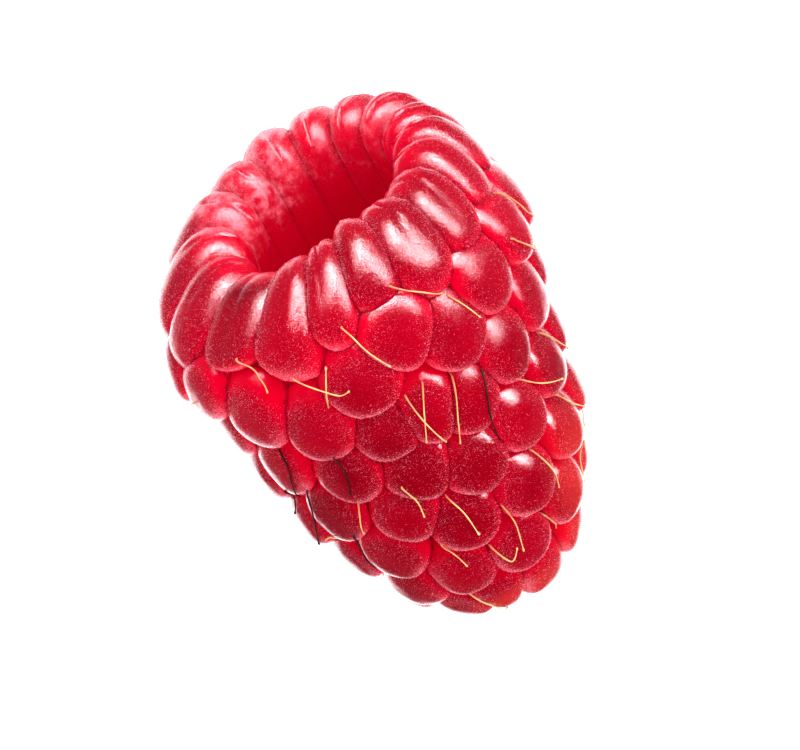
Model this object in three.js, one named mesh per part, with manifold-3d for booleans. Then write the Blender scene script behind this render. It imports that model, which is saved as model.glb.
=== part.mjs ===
// A ripe raspberry as picked, lying on its side. The hollow left by the stalk's cone opens to the
// front. Millimetres, +Z up, the open end toward -Y.
//
// The fruit has its own frame: its axis is Z, from the tip at height 0 to the open end. A place on it
// is [azimuth, height], the azimuth in degrees round the axis from the side that ends up on top.
import * as THREE from "three";
import { mergeVertices } from "three/addons/utils/BufferGeometryUtils.js";
import Module from "manifold-3d";

const FLESH = { color: 0xc2001f, roughness: 0.42, metalness: 0 };
const DRY_THREAD = { color: 0xc08a45, roughness: 0.7, metalness: 0 };

// How the fruit lies: its axis rises toward the open end, and its weight flattens the drupelets below.
const AXIS_RISE = 10;
const PRESSED_FLAT = 0.36;

// The flesh at the bottom of the grooves, as [height, radius] up the flank from the tip to the lip.
const FLANK = [
  [0.9, 0], [1.0, 1.6], [1.5, 2.9], [2.5, 4.0], [4.4, 5.2], [7.2, 6.5], [11.9, 7.4],
  [17.2, 8.4], [18.8, 8.7], [20.4, 8.4], [21.5, 7.8], [22.2, 7.1],
];

// The same flesh on over the lip and down the hollow to its closed end.
const LIP_AND_HOLLOW = [
  [22.7, 6.4], [22.8, 5.6], [22.3, 4.9], [20.6, 4.55], [17.0, 4.25], [12.5, 3.9], [9.6, 3.4],
  [7.2, 2.5], [6.1, 1.4], [5.8, 0],
];
const PROFILE_STEPS = 50;
const TURN_STEPS = 66;

// How far the crown of a drupelet stands over the grooves round it.
const CROWN_RISE = 1.0;

// The rim's drupelets bend over the lip into the hollow. Each has its azimuth, and how far the lip is
// lifted there along the axis, because the mouth isn't square to it.
const RIM_HEIGHT = 21.4;
const RIM_LIFTS = [
  [-53, -1.5], [-25, -1.1], [-11, -0.95], [5.5, -0.5], [24, -0.8], [43, -0.7], [63, 0.1],
  [83, 0.3], [101, 0.5], [119, 0.95], [141.5, 1.3], [164.5, 1.3], [187, 1.35], [209.5, 0.9],
  [232, 0.35], [258, -0.2], [282, -0.9],
];
const LIFTED_FROM = 18.6;
const LIFTED_ABOVE = 22.6;

// The mouth of the hollow lies this far to one side of the axis, toward that azimuth. The shift fades
// out down the hollow between two heights, and over the lip between two radii.
const MOUTH_SHIFT = 0.7;
const MOUTH_SIDE = 75;
const SHIFTED_FROM = 12;
const SHIFTED_ABOVE = 20;
const SHIFTED_WITHIN = 6.5;
const UNSHIFTED_BEYOND = 9.5;

// The drupelets by rows. width runs round the fruit, length along it, and depth is half the thickness.
const ROWS = [
  {
    width: 3.1,
    length: 5.7,
    depth: 2.0,
    places: RIM_LIFTS.map(([azimuth]) => [azimuth, RIM_HEIGHT]),
  },
  {
    // The widest row, with the few that sit a little lower between two of it.
    width: 3.5,
    length: 3.9,
    depth: 1.9,
    places: [
      [-70, 18.7], [-53, 16.9], [-33, 15.4], [-12, 16.9], [6, 18.4], [22, 16.7], [41, 18.0],
      [61, 18.8], [81, 19.0], [101, 18.5], [121, 18.8], [141, 18.3], [166, 18.5], [192, 18.5],
      [216, 18.4], [237, 18.7], [256, 18.3], [272, 19.2],
    ],
  },
  {
    width: 3.3,
    length: 3.5,
    depth: 1.8,
    places: [
      [-79, 15.5], [-61, 13.4], [-13, 13.9], [3, 13.9], [17, 13.2], [38, 14.2], [62, 14.9],
      [83, 15.5], [104, 15.1], [125, 15.4], [148, 14.9], [168, 15.0], [190, 15.0], [212, 15.1],
      [235, 15.4], [257, 14.9],
    ],
  },
  {
    width: 3.4,
    length: 3.4,
    depth: 1.8,
    places: [
      [-83, 12.4], [-34, 12.4], [-11, 11.2], [9, 10.1], [33, 10.6], [58, 11.5], [80, 12.2],
      [102, 11.7], [126, 12.0], [148, 11.6], [169, 11.6], [191, 11.6], [213, 11.7],
      [235, 12.1], [256, 11.6],
    ],
  },
  {
    width: 3.4,
    length: 3.3,
    depth: 1.7,
    places: [
      [-76, 9.5], [-52, 10.2], [-24, 9.2], [-5, 7.6], [24, 7.5], [55, 8.2], [81, 8.9],
      [107, 8.5], [134, 8.8], [158, 8.3], [180, 8.4], [203, 8.3], [227, 8.8], [254, 8.5],
    ],
  },
  {
    width: 3.4,
    length: 3.2,
    depth: 1.6,
    places: [
      [-68, 6.9], [-42, 7.0], [-20, 4.7], [12, 4.6], [46, 5.3], [76, 5.9], [107, 5.4],
      [138, 5.6], [167, 5.2], [196, 5.2], [228, 5.6], [261, 5.4], [-50, 4.5],
    ],
  },
  {
    width: 3.2,
    length: 3.0,
    depth: 1.5,
    places: [
      [-78, 3.4], [-44, 2.1], [-14, 2.2], [24, 1.9], [62, 2.6], [101, 2.4], [146, 2.5],
      [190, 2.1], [236, 2.5], [-98, 1.25], [88, 0.95],
    ],
  },
];

// The dried styles, each as places from its root in a groove to its free end.
const STYLE_RADIUS = 0.06;
const STYLE_LIFT = 0.18;
const STYLE_ROOT = 0.12;
const STYLES = [
  [[-46, 20.7], [-43, 19.3], [-42, 18.0]],
  [[-29, 18.6], [-26, 18.0], [-19, 17.1], [-15, 17.1]],
  [[-25, 16.4], [-22, 17.4], [-19, 18.4]],
  [[-8, 20.2], [-5, 18.6], [-1, 17.3]],
  [[10, 20.6], [19, 19.2], [24, 18.6]],
  [[25, 18.4], [28, 17.6], [31, 16.6]],
  [[64, 20.0], [70, 18.6], [77, 17.6]],
  [[54, 18.5], [61, 17.3], [68, 16.5]],
  [[59, 12.9], [67, 11.6], [76, 10.6]],
  [[39, 12.1], [46, 11.2], [56, 10.5]],
  [[53, 9.9], [62, 8.6], [73, 7.6]],
  [[-2, 15.2], [0, 13.6], [3, 12.0]],
  [[5, 15.4], [1, 14.2], [-3, 12.6]],
  [[15, 14.8], [12, 13.6], [9, 12.5], [7, 11.4]],
  [[25, 14.1], [20, 12.2], [20, 10.4]],
  [[-32, 13.9], [-32, 12.8], [-35, 11.6]],
  [[-55, 14.8], [-53, 13.7], [-56, 12.6], [-60, 11.6]],
  [[-64, 12.1], [-69, 11.2], [-74, 10.2]],
  [[-54, 12.0], [-60, 10.2], [-70, 8.4]],
  [[-66, 8.6], [-60, 8.9], [-54, 9.1]],
  [[-36, 10.8], [-40, 9.8], [-43, 8.9]],
  [[-46, 9.1], [-50, 7.9], [-55, 6.5]],
  [[-18, 11.0], [-16, 10.0], [-17, 8.9]],
  [[-7, 9.1], [-4, 8.2], [-3, 7.0]],
  [[-18, 7.1], [-17, 6.2], [-15, 5.2]],
  [[10, 7.3], [12, 6.0], [10, 4.6]],
  [[-2, 5.4], [3, 4.4], [8, 4.9]],
  [[31, 8.7], [35, 7.2], [38, 6.0]],
  [[27, 5.2], [33, 4.2], [40, 3.3]],
  [[60, 6.9], [58, 6.0], [56, 5.0]],
  [[-31, 3.2], [-24, 2.5], [-17, 1.4]],
  [[-88, 16.8], [-80, 17.6], [-71, 18.2]],
  [[-92, 14.4], [-97, 13.3], [-95, 12.2]],
  [[92, 17.0], [96, 15.8], [103, 14.6]],
  [[112, 17.0], [109, 15.6], [112, 14.2]],
  [[134, 16.8], [138, 15.6], [147, 14.8]],
  [[92, 13.4], [89, 12.2], [91, 10.8]],
  [[115, 13.2], [119, 12.0], [118, 10.6]],
  [[138, 13.2], [141, 11.8], [137, 10.7]],
  [[94, 10.0], [99, 8.8], [107, 7.9]],
  [[121, 7.0], [126, 5.8], [128, 4.6]],
  [[228, 17.0], [231, 15.6], [226, 14.4]],
  [[247, 16.6], [243, 15.4], [245, 14.0]],
  [[224, 13.4], [229, 12.2], [228, 10.9]],
  [[241, 10.1], [236, 9.0], [238, 7.8]],
  [[252, 10.0], [256, 8.6], [263, 7.8]],
  [[244, 6.9], [248, 5.6], [244, 4.4]],
  [[84, 7.3], [87, 6.1], [84, 4.9]],
];

const wasm = await Module();
wasm.setup();

// A closed three.js geometry as a manifold-3d solid.
function solidOf(geometry) {
  const bare = geometry.clone();
  bare.deleteAttribute("normal");
  bare.deleteAttribute("uv");
  const merged = mergeVertices(bare, 1e-4);
  return new wasm.Manifold(
    new wasm.Mesh({
      numProp: 3,
      vertProperties: merged.attributes.position.array,
      triVerts: new Uint32Array(merged.index.array),
    }),
  );
}

// A manifold-3d solid as a three.js geometry.
function geometryOf(solid) {
  const mesh = solid.getMesh();
  const geometry = new THREE.BufferGeometry();
  geometry.setAttribute("position", new THREE.BufferAttribute(mesh.vertProperties, 3));
  geometry.setIndex(new THREE.BufferAttribute(mesh.triVerts, 1));
  geometry.computeVertexNormals();
  return geometry;
}

// The flank's radius at a height, held level past both its ends.
function flankRadius(height) {
  const last = FLANK.length - 1;
  const h = THREE.MathUtils.clamp(height, FLANK[0][0], FLANK[last][0]);
  const above = Math.max(1, FLANK.findIndex((point) => point[0] >= h));
  const [lowHeight, lowRadius] = FLANK[above - 1];
  const [highHeight, highRadius] = FLANK[above];
  return THREE.MathUtils.mapLinear(h, lowHeight, highHeight, lowRadius, highRadius);
}

// The frame on the flank at a place: X leads outward, Y round the fruit and Z toward the open end.
function frameAt(azimuth, height) {
  const reach = 0.5;
  const slope = (flankRadius(height + reach) - flankRadius(height - reach)) / (2 * reach);
  const angle = THREE.MathUtils.degToRad(azimuth);
  const radial = new THREE.Vector3(Math.cos(angle), Math.sin(angle), 0);
  const along = new THREE.Vector3(slope * radial.x, slope * radial.y, 1).normalize();
  const round = new THREE.Vector3(-radial.y, radial.x, 0);
  const outward = new THREE.Vector3().crossVectors(round, along);
  const origin = radial.multiplyScalar(flankRadius(height)).setZ(height);
  return new THREE.Matrix4().makeBasis(outward, round, along).setPosition(origin);
}

// Each drupelet as an ellipsoid: the matrix that turns it into a unit sphere.
const toUnitSphere = ROWS.flatMap(({ width, length, depth, places }) =>
  places.map(([azimuth, height]) =>
    frameAt(azimuth, height)
      .multiply(new THREE.Matrix4().makeTranslation(CROWN_RISE - depth, 0, 0))
      .multiply(new THREE.Matrix4().makeScale(depth, width / 2, length / 2))
      .invert(),
  ),
);

// How far the drupelets stand over a point of the grooves' surface, along a direction out of it.
function crownReach(origin, outward) {
  const widestGap = 0.3;
  let reach = 0;
  for (const matrix of toUnitSphere) {
    const start = origin.clone().applyMatrix4(matrix);
    const step = origin.clone().add(outward).applyMatrix4(matrix).sub(start);
    const a = step.dot(step);
    const b = start.dot(step);
    const inside = b * b - a * (start.dot(start) - 1);
    if (inside > 0 && -b - Math.sqrt(inside) < widestGap * a) {
      reach = Math.max(reach, (Math.sqrt(inside) - b) / a);
    }
  }
  return reach;
}

// How far the lip is lifted at an azimuth, drawn straight from one lobe of the rim to the next.
function liftAt(azimuth) {
  const [first, firstLift] = RIM_LIFTS[0];
  const lobes = [...RIM_LIFTS, [first + 360, firstLift]];
  const turned = first + THREE.MathUtils.euclideanModulo(azimuth - first, 360);
  const next = lobes.findIndex(([place]) => place > turned);
  const [before, after] = [lobes[next - 1], lobes[next]];
  return THREE.MathUtils.mapLinear(turned, before[0], after[0], before[1], after[1]);
}

// Moves a point of the fruit, where the mouth isn't true to the axis.
function shape(point) {
  const radius = Math.hypot(point.x, point.y);
  const azimuth = THREE.MathUtils.radToDeg(Math.atan2(point.y, point.x));
  const side = THREE.MathUtils.degToRad(MOUTH_SIDE);
  const lift = liftAt(azimuth) * THREE.MathUtils.smoothstep(point.z, LIFTED_FROM, LIFTED_ABOVE);
  const inward = 1 - THREE.MathUtils.smoothstep(radius, SHIFTED_WITHIN, UNSHIFTED_BEYOND);
  const upward = THREE.MathUtils.smoothstep(point.z, SHIFTED_FROM, SHIFTED_ABOVE);
  const shift = MOUTH_SHIFT * inward * upward;
  return point.add(new THREE.Vector3(shift * Math.cos(side), shift * Math.sin(side), lift));
}

// The whole fruit as one turned body, each point of it moved out to the drupelet that covers it.
function berryGeometry() {
  const profile = new THREE.SplineCurve(
    [...FLANK, ...LIP_AND_HOLLOW].map(([height, radius]) => new THREE.Vector2(radius, height)),
  ).getSpacedPoints(PROFILE_STEPS);
  const last = profile.length - 1;
  profile[0].x = 0;
  profile[last].x = 0;
  const berry = new THREE.LatheGeometry(profile, TURN_STEPS).rotateX(Math.PI / 2);
  const { position, normal } = berry.attributes;
  for (let i = 0; i < position.count; i += 1) {
    const point = new THREE.Vector3().fromBufferAttribute(position, i);
    const outward = new THREE.Vector3().fromBufferAttribute(normal, i);
    if (Math.hypot(point.x, point.y) < 1e-6) {
      outward.set(0, 0, Math.sign(outward.z));
    }
    shape(point.addScaledVector(outward, crownReach(point, outward)));
    position.setXYZ(i, point.x, point.y, point.z);
  }
  return berry;
}

// The fruit's frame as laid on its side: azimuth 0 goes up and the axis rises toward the front.
const rise = THREE.MathUtils.degToRad(AXIS_RISE);
const laid = new THREE.Matrix4().makeBasis(
  new THREE.Vector3(0, Math.sin(rise), Math.cos(rise)),
  new THREE.Vector3(-1, 0, 0),
  new THREE.Vector3(0, -Math.cos(rise), Math.sin(rise)),
);

// The surface that the berry is pressed on, as a slab in the fruit's frame.
function tableGeometry(berry) {
  const span = 60;
  const thickness = 20;
  const lying = berry.clone().applyMatrix4(laid);
  lying.computeBoundingBox();
  const top = lying.boundingBox.min.z + PRESSED_FLAT;
  const table = new THREE.BoxGeometry(span, span, thickness);
  table.translate(0, 0, top - thickness / 2);
  return table.applyMatrix4(laid.clone().invert());
}

function fruitGeometry() {
  const berry = berryGeometry();
  return geometryOf(solidOf(berry).subtract(solidOf(tableGeometry(berry))));
}

// A style's centre line: rooted just under the skin, then stretched over the crowns that it crosses.
function styleCurve(places) {
  const steps = 9;
  const route = new THREE.CatmullRomCurve3(
    places.map(([azimuth, height]) => new THREE.Vector3(azimuth, height, 0)),
  );
  const frames = route.getSpacedPoints(steps).map((place) => frameAt(place.x, place.y));
  const reaches = frames.map((frame) => {
    const outward = new THREE.Vector3().setFromMatrixColumn(frame, 0);
    return crownReach(new THREE.Vector3().setFromMatrixPosition(frame), outward) + STYLE_LIFT;
  });
  reaches[0] -= STYLE_LIFT + STYLE_ROOT;
  for (let pass = 0; pass < 60; pass += 1) {
    for (let i = 2; i < steps; i += 1) {
      reaches[i] = Math.max(reaches[i], (reaches[i - 1] + reaches[i + 1]) / 2);
    }
  }
  return new THREE.CatmullRomCurve3(
    frames.map((frame, i) => shape(new THREE.Vector3(reaches[i], 0, 0).applyMatrix4(frame))),
  );
}

function styleGeometry(places) {
  const section = new THREE.Shape().absarc(0, 0, STYLE_RADIUS, 0, 2 * Math.PI);
  return new THREE.ExtrudeGeometry(section, {
    curveSegments: 3,
    steps: 7,
    bevelEnabled: false,
    extrudePath: styleCurve(places),
  });
}

const raspberry = new THREE.Group();

const fruit = new THREE.Mesh(fruitGeometry(), new THREE.MeshStandardMaterial(FLESH));
fruit.name = "fruit";
raspberry.add(fruit);

STYLES.forEach((places, i) => {
  const style = new THREE.Mesh(styleGeometry(places), new THREE.MeshStandardMaterial(DRY_THREAD));
  style.name = `style_${String(i + 1).padStart(2, "0")}`;
  raspberry.add(style);
});

// Lay the fruit down, centred over the origin, with its pressed side on the surface at Z = 0.
raspberry.quaternion.setFromRotationMatrix(laid);
const extent = new THREE.Box3().setFromObject(raspberry, true);
const middle = extent.getCenter(new THREE.Vector3());
raspberry.position.set(-middle.x, -middle.y, -extent.min.z);

export default raspberry;
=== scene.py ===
"""A ripe raspberry as picked, with its drupelets, its fine bloom of hairs and its dried styles.

The fruit has its own frame, in millimetres: its axis is Z, from the tip at height 0 to the open
end. A place on it is (azimuth, height), the azimuth in degrees round the axis from the side that
is on top.
"""

import math

import bpy
import numpy as np
from mathutils import Matrix, Vector


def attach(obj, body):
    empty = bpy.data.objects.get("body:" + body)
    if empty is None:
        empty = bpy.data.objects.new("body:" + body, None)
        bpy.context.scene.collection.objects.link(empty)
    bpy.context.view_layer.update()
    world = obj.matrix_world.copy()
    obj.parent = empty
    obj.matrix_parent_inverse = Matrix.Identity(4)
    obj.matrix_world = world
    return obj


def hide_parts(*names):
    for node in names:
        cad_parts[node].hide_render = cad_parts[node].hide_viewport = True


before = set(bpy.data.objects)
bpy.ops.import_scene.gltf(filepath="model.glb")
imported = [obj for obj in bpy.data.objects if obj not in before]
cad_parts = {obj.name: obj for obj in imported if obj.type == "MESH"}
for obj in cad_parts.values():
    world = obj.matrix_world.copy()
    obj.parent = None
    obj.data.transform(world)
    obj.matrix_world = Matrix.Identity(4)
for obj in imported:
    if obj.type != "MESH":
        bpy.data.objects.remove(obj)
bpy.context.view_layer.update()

bl_info = {
    "name": "Raspberry",
    "version": (1, 0, 0),
    "blender": (4, 5, 0),
    "location": "View3D > Sidebar > Raspberry",
    "description": "Grows a ripe raspberry with its hollow, bloom and dried styles",
    "category": "Object",
}

MM = 0.001
TURN = 2 * math.pi
SEED = 7

# How the fruit lies: the turn of its axis, and where the tip end of the axis comes to be.
AXIS_RISE = math.radians(10)
AXIS_START = np.array([-0.026, 12.648, 5.778])
# The mouth lies this far to one side, toward this azimuth, and the flesh is shifted with it in
# from the first radius to the second and up from the first height to the second.
MOUTH_SHIFT, MOUTH_SIDE = 0.7, math.radians(75)
MOUTH_RADII, MOUTH_HEIGHTS = (9.5, 6.5), (12, 20)
# The lip's lift comes in up the flank between these heights.
LIFT_HEIGHTS = (18.6, 22.6)

# The flesh at the bottom of the grooves, as (height, radius) from the tip to the lip.
FLANK = (
    (0.9, 0), (1.0, 1.6), (1.5, 2.9), (2.5, 4.0), (4.4, 5.2), (7.2, 6.5), (11.9, 7.4),
    (17.2, 8.4), (18.8, 8.7), (20.4, 8.4), (21.5, 7.8), (22.2, 7.1),
)
# The same flesh on over the lip and down the hollow to its closed end.
LIP_AND_HOLLOW = (
    (22.7, 6.4), (22.8, 5.6), (22.3, 4.9), (20.6, 4.55), (17.0, 4.25), (12.5, 3.9), (9.6, 3.4),
    (7.2, 2.5), (6.1, 1.4), (5.8, 0),
)

# The rim's long drupelets, as (azimuth, height of the foot, reach down the hollow, lift, fullness
# beside the others).
RIM = (
    (-53, 19.3, 4.2, -1.5, 1.18), (-25, 17.8, 4.0, -1.1, 1.26), (-11, 18.6, 4.0, -0.95, 1.30),
    (5.5, 19.3, 4.2, -0.5, 1.26), (24, 18.5, 4.4, -0.8, 1.38), (43, 18.9, 4.6, -0.7, 1.28),
    (63, 19.2, 5.0, 0.1, 1.16), (83, 19.4, 5.4, 0.3, 1.12), (101, 19.6, 5.8, 0.5, 1.16),
    (119, 19.8, 6.2, 0.95, 1.14), (141.5, 19.8, 6.6, 1.3, 1.10), (164.5, 19.7, 6.8, 1.3, 1.14),
    (187, 19.7, 6.8, 1.35, 1.18), (209.5, 19.6, 6.4, 0.9, 1.12), (232, 19.4, 5.8, 0.35, 1.20),
    (258, 19.1, 5.2, -0.2, 1.14), (282, 18.7, 4.6, -0.9, 1.18),
)

# The drupelets below the rim by rows, as width, length and their places.
ROWS = (
    (3.5, 3.9, (
        (-70, 18.7), (-53, 16.9), (-33, 15.4), (-12, 16.9), (6, 18.4), (22, 16.7), (41, 18.0),
        (61, 18.8), (81, 19.0), (101, 18.5), (121, 18.8), (141, 18.3), (166, 18.5), (192, 18.5),
        (216, 18.4), (237, 18.7), (256, 18.3), (272, 19.2),
    )),
    (3.3, 3.5, (
        (-79, 15.5), (-61, 13.4), (-13, 13.9), (3, 13.9), (17, 13.2), (38, 14.2), (62, 14.9),
        (83, 15.5), (104, 15.1), (125, 15.4), (148, 14.9), (168, 15.0), (190, 15.0), (212, 15.1),
        (235, 15.4), (257, 14.9),
    )),
    (3.4, 3.4, (
        (-83, 12.4), (-34, 12.4), (-11, 11.2), (9, 10.1), (33, 10.6), (58, 11.5), (80, 12.2),
        (102, 11.7), (126, 12.0), (148, 11.6), (169, 11.6), (191, 11.6), (213, 11.7),
        (235, 12.1), (256, 11.6),
    )),
    (3.4, 3.3, (
        (-76, 9.5), (-52, 10.2), (-24, 9.2), (-5, 7.6), (24, 7.5), (55, 8.2), (81, 8.9),
        (107, 8.5), (134, 8.8), (158, 8.3), (180, 8.4), (203, 8.3), (227, 8.8), (254, 8.5),
    )),
    (3.4, 3.2, (
        (-68, 6.9), (-42, 7.0), (-20, 4.7), (12, 4.6), (46, 5.3), (76, 5.9), (107, 5.4),
        (138, 5.6), (167, 5.2), (196, 5.2), (228, 5.6), (261, 5.4), (-50, 4.5),
    )),
    (3.2, 3.0, (
        (-78, 3.4), (-44, 2.1), (-14, 2.2), (24, 1.9), (62, 2.6), (101, 2.4), (146, 2.5),
        (190, 2.1), (236, 2.5), (-98, 1.25), (88, 0.95),
    )),
)

# The low inner ends of the drupelets down the hollow, as (depth along its wall from the lip,
# count).
INNER_ROWS = ((6.6, 15), (8.4, 14), (10.2, 13), (12.0, 12), (13.6, 10), (15.0, 8), (16.2, 6))

# The dried styles, each as places from its root in a groove to its free end.
STYLES = (
    ((-46, 20.7), (-43, 19.3), (-42, 18.0)),
    ((-29, 18.6), (-26, 18.0), (-19, 17.1), (-15, 17.1)),
    ((-25, 16.4), (-22, 17.4), (-19, 18.4)),
    ((-8, 20.2), (-5, 18.6), (-1, 17.3)),
    ((10, 20.6), (19, 19.2), (24, 18.6)),
    ((25, 18.4), (28, 17.6), (31, 16.6)),
    ((64, 20.0), (70, 18.6), (77, 17.6)),
    ((54, 18.5), (61, 17.3), (68, 16.5)),
    ((59, 12.9), (67, 11.6), (76, 10.6)),
    ((39, 12.1), (46, 11.2), (56, 10.5)),
    ((53, 9.9), (62, 8.6), (73, 7.6)),
    ((-2, 15.2), (0, 13.6), (3, 12.0)),
    ((5, 15.4), (1, 14.2), (-3, 12.6)),
    ((15, 14.8), (12, 13.6), (9, 12.5), (7, 11.4)),
    ((25, 14.1), (20, 12.2), (20, 10.4)),
    ((-32, 13.9), (-32, 12.8), (-35, 11.6)),
    ((-55, 14.8), (-53, 13.7), (-56, 12.6), (-60, 11.6)),
    ((-64, 12.1), (-69, 11.2), (-74, 10.2)),
    ((-54, 12.0), (-60, 10.2), (-70, 8.4)),
    ((-66, 8.6), (-60, 8.9), (-54, 9.1)),
    ((-36, 10.8), (-40, 9.8), (-43, 8.9)),
    ((-46, 9.1), (-50, 7.9), (-55, 6.5)),
    ((-18, 11.0), (-16, 10.0), (-17, 8.9)),
    ((-7, 9.1), (-4, 8.2), (-3, 7.0)),
    ((-18, 7.1), (-17, 6.2), (-15, 5.2)),
    ((10, 7.3), (12, 6.0), (10, 4.6)),
    ((-2, 5.4), (3, 4.4), (8, 4.9)),
    ((31, 8.7), (35, 7.2), (38, 6.0)),
    ((27, 5.2), (33, 4.2), (40, 3.3)),
    ((60, 6.9), (58, 6.0), (56, 5.0)),
    ((-31, 3.2), (-24, 2.5), (-17, 1.4)),
    ((-88, 16.8), (-80, 17.6), (-71, 18.2)),
    ((-92, 14.4), (-97, 13.3), (-95, 12.2)),
    ((92, 17.0), (96, 15.8), (103, 14.6)),
    ((112, 17.0), (109, 15.6), (112, 14.2)),
    ((134, 16.8), (138, 15.6), (147, 14.8)),
    ((92, 13.4), (89, 12.2), (91, 10.8)),
    ((115, 13.2), (119, 12.0), (118, 10.6)),
    ((138, 13.2), (141, 11.8), (137, 10.7)),
    ((94, 10.0), (99, 8.8), (107, 7.9)),
    ((121, 7.0), (126, 5.8), (128, 4.6)),
    ((228, 17.0), (231, 15.6), (226, 14.4)),
    ((247, 16.6), (243, 15.4), (245, 14.0)),
    ((224, 13.4), (229, 12.2), (228, 10.9)),
    ((241, 10.1), (236, 9.0), (238, 7.8)),
    ((252, 10.0), (256, 8.6), (263, 7.8)),
    ((244, 6.9), (248, 5.6), (244, 4.4)),
    ((84, 7.3), (87, 6.1), (84, 4.9)),
)


# ---------------------------------------------------------------- meshes


def laid(points):
    """Points of the fruit's frame, in millimetres, as they lie on the surface, in metres.

    Up is cos(rise) X + sin(rise) Z, right is -Y, and forward is cos(rise) Z - sin(rise) X.
    """
    x, y, z = np.moveaxis(np.asarray(points, float), -1, 0)
    sine, cosine = math.sin(AXIS_RISE), math.cos(AXIS_RISE)
    turned = np.stack([-y, sine * x - cosine * z, cosine * x + sine * z], axis=-1)
    return (turned + AXIS_START) * MM


def globe_faces(rings, columns):
    """The faces of a closed grid: a pole, then rings of points, then the other pole.

    A cap is the triangles (pole, c, c + 1) and a band the quads (r, c), (r + 1, c),
    (r + 1, c + 1), (r, c + 1). They face outward where the columns turn left seen from outside
    the first pole.
    """
    column = np.arange(columns)
    following = (column + 1) % columns
    band = 1 + columns * np.arange(rings - 1)[:, None]
    quads = np.stack(
        [band + column, band + columns + column, band + columns + following, band + following],
        axis=-1,
    ).reshape(-1, 4)
    first = np.stack([0 * column, 1 + column, 1 + following], axis=-1)
    base = 1 + columns * (rings - 1)
    last_pole = 1 + columns * rings
    last = np.stack([0 * column + last_pole, base + following, base + column], axis=-1)
    return [first, quads, last]


def mesh_of(name, points, faces):
    """A mesh of points and of arrays of faces, each array with one number of corners."""
    mesh = bpy.data.meshes.new(name)
    corners = np.concatenate([np.asarray(f).reshape(-1) for f in faces]).astype(np.int32)
    sizes = np.concatenate([np.full(len(f), f.shape[1]) for f in faces])
    starts = np.concatenate([[0], np.cumsum(sizes)[:-1]]).astype(np.int32)
    mesh.vertices.add(len(points))
    mesh.vertices.foreach_set("co", np.asarray(points, np.float32).reshape(-1))
    mesh.loops.add(len(corners))
    mesh.loops.foreach_set("vertex_index", corners)
    mesh.polygons.add(len(starts))
    mesh.polygons.foreach_set("loop_start", starts)
    mesh.update(calc_edges=True)
    return mesh


def add_attributes(mesh, **numbers):
    """Stores numbers for the vertices under their names, for the material to read."""
    for name, values in numbers.items():
        values = np.broadcast_to(values, len(mesh.vertices)).astype(np.float32)
        mesh.attributes.new(name, "FLOAT", "POINT").data.foreach_set("value", values)


def read_vertices(mesh, what="co"):
    """The places of a mesh's vertices, or their outward directions where what is "normal"."""
    values = np.empty(3 * len(mesh.vertices), np.float32)
    mesh.vertices.foreach_get(what, values)
    return values.reshape(-1, 3).astype(float)


def read_attribute(mesh, name):
    """The number that is stored for each vertex."""
    values = np.empty(len(mesh.vertices), np.float32)
    mesh.attributes[name].data.foreach_get("value", values)
    return values.astype(float)


def concavity(mesh):
    """How far the neighbours of each vertex stand over it on average, along its normal.

    That is (mean of the neighbours' places - own place) . normal, averaged with the mean of
    the neighbours' own values.
    """
    ends = np.empty(2 * len(mesh.edges), np.int32)
    mesh.edges.foreach_get("vertices", ends)
    first, second = ends.reshape(-1, 2).T
    count = np.bincount(ends, minlength=len(mesh.vertices))

    def around(values):
        total = (np.bincount(first, values[second], len(count))
                 + np.bincount(second, values[first], len(count)))
        return total / count

    places, normals = read_vertices(mesh), read_vertices(mesh, "normal")
    mean = np.stack([around(column) for column in places.T], axis=-1)
    stands = ((mean - places) * normals).sum(1)
    return (stands + around(stands)) / 2


def link(name, data, material=None, collection=None):
    """A new object at the origin that shows a mesh with a material, or a lamp or a camera."""
    piece = bpy.data.objects.new(name, data)
    if material is not None:
        data.materials.append(material)
    (collection or bpy.context.scene.collection).objects.link(piece)
    return piece


def smooth(mesh, crease=None):
    """Shades a mesh smooth, with edges sharper than the crease angle left sharp."""
    mesh.polygons.foreach_set("use_smooth", np.ones(len(mesh.polygons), bool))
    if crease is not None:
        mesh.set_sharp_from_angle(angle=crease)
    mesh.update()


def unit(vectors):
    """Vectors at length 1."""
    return vectors / np.maximum(np.linalg.norm(vectors, axis=-1, keepdims=True), 1e-12)


def angles(count):
    """That many angles evenly round a turn, from 0."""
    return TURN * np.arange(count) / count


def ease(low, high, value):
    """0 below low, 1 above high, and 3 t^2 - 2 t^3 between."""
    t = np.clip((value - low) / (high - low), 0, 1)
    return t * t * (3 - 2 * t)


# ---------------------------------------------------------------- the fruit's skin


def spline(points, steps):
    """A Catmull-Rom curve through points, with that many steps to each span.

    Each span is ((-a + 3b - 3c + d) t^3 + (2a - 5b + 4c - d) t^2 + (c - a) t + 2b) / 2 of the
    four points a, b, c, d about it.
    """
    points = np.asarray(points, float)
    ends = np.concatenate([points[:1], points, points[-1:]])
    a, b, c, d = (ends[k:len(points) - 1 + k, None] for k in range(4))
    t = np.linspace(0, 1, steps, endpoint=False)[None, :, None]
    curve = ((3 * b - a - 3 * c + d) * t**3 + (2 * a - 5 * b + 4 * c - d) * t**2
             + (c - a) * t + 2 * b) / 2
    return np.concatenate([curve.reshape(-1, points.shape[1]), points[-1:]])


PROFILE = spline(FLANK + LIP_AND_HOLLOW, 24)
PROFILE_ARC = np.concatenate([[0], np.cumsum(np.linalg.norm(np.diff(PROFILE, axis=0), axis=1))])
PROFILE_LEAD = unit(np.gradient(PROFILE, PROFILE_ARC, axis=0))
LIP_ARC = float(PROFILE_ARC[np.argmax(PROFILE[:, 0])])


def flank_radius(height):
    """The groove surface's radius on the flank at a height."""
    heights, radii = np.array(FLANK, float).T
    return np.interp(height, heights, radii)


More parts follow.
